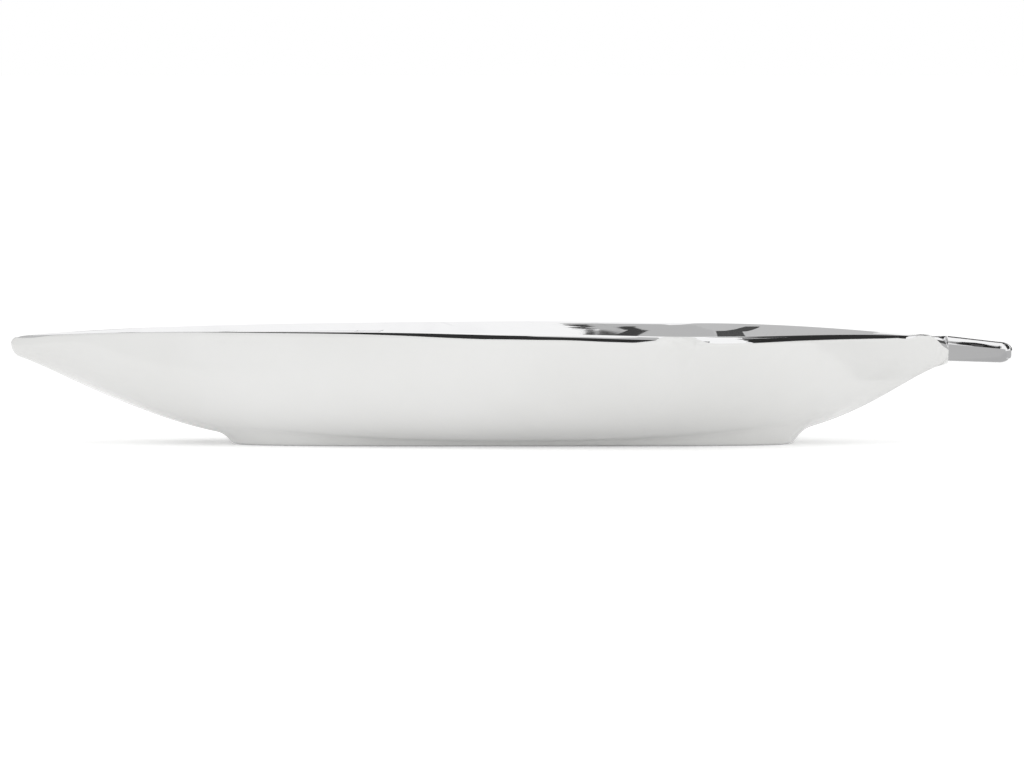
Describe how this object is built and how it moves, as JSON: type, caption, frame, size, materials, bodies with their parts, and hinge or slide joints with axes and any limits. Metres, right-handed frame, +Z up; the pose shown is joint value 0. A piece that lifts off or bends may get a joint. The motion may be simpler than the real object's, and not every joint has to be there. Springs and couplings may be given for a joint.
{
  "type": "acorn-shaped platter",
  "caption": "Low serving dish in the outline of an acorn, polished metal inside and white enamel outside, on a low foot, with a stem at the cap's end.",
  "frame": {"origin": "on the table, under the middle of the dish's length and width", "axes": "+X from the nut's tip towards the stem, +Y across the dish, +Z up"},
  "size_m": [0.3555, 0.2008, 0.0409],
  "materials": {
    "polished_metal": "mirror polished",
    "foot_metal": "ground flat on the underside",
    "stem_metal": "mirror polished",
    "white_enamel": "glossy",
    "base_white": "glossy"
  },
  "bodies": {
    "root": {"cast_shell": "polished_metal", "foot_ring": "foot_metal", "stem": "stem_metal", "outer_enamel": "white_enamel", "base_enamel": "base_white"}
  },
  "joints": []
}
